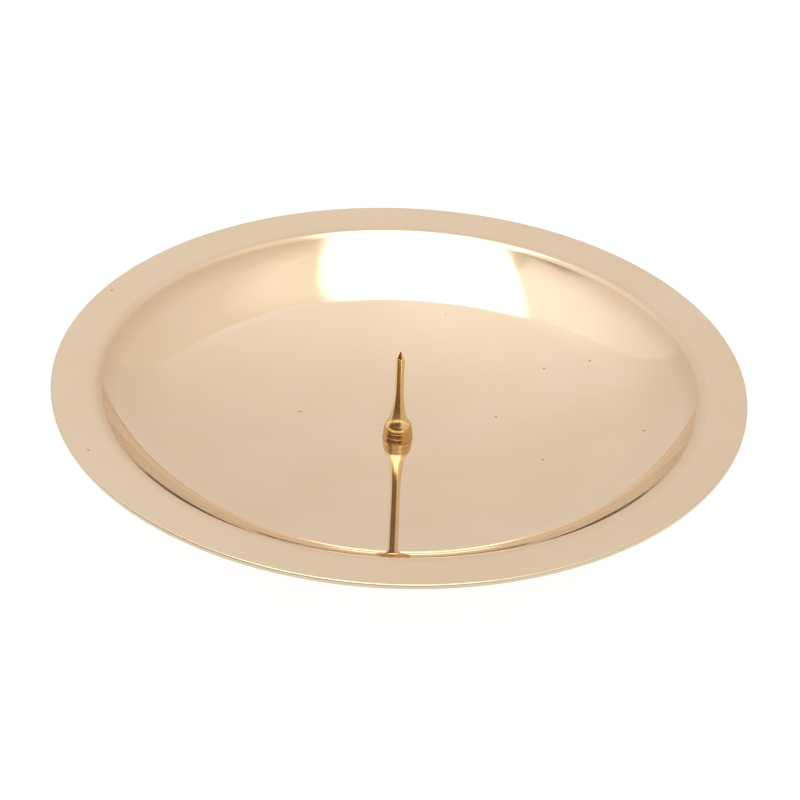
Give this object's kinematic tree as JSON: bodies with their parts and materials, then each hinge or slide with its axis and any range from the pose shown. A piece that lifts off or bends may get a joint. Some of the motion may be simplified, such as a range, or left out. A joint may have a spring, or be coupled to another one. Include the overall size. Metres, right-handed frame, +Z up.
{
  "type": "candle plate",
  "caption": "Low round spun brass candle plate with a sloping rim, a smooth hollow well, an upright screwed-in candle spike and a felted foot ring.",
  "frame": {"origin": "centre of the felt ring's underside, the face the plate stands on", "axes": "+Z up along the spike; the plate is round, so X and Y are any two level directions"},
  "size_m": [0.14, 0.14, 0.0271],
  "materials": {
    "polished_brass": "mirror polished, clear lacquered",
    "turned_brass": "turned and polished",
    "satin_brass": "satin, spun",
    "plated_steel": "bright zinc plated",
    "green_felt": "pressed wool felt",
    "adhesive_film": "pressure-sensitive film"
  },
  "bodies": {
    "plate": {"dish": "polished_brass", "foot_ring": "satin_brass", "felt_ring": "green_felt", "felt_adhesive": "adhesive_film", "flat_washer": "plated_steel", "lock_washer": "plated_steel", "hex_nut": "plated_steel"},
    "seat_ring": {"seat_ring": "turned_brass"},
    "spike": {"spike": "turned_brass"}
  },
  "joints": [
    {"name": "spike_rise", "type": "slide", "parent": "plate", "child": "seat_ring", "axis": [0, 0, 1], "range_m": [0, 0.0028]},
    {"name": "spike_turn", "type": "hinge", "parent": "seat_ring", "child": "spike", "pos_m": [0, 0, 0.0077], "axis": [0, 0, 1], "range_deg": [0, 1445]}
  ],
  "couplings": [
    {"joint": "spike_turn", "follows": "spike_rise", "rad_per_m": 8976}
  ]
}
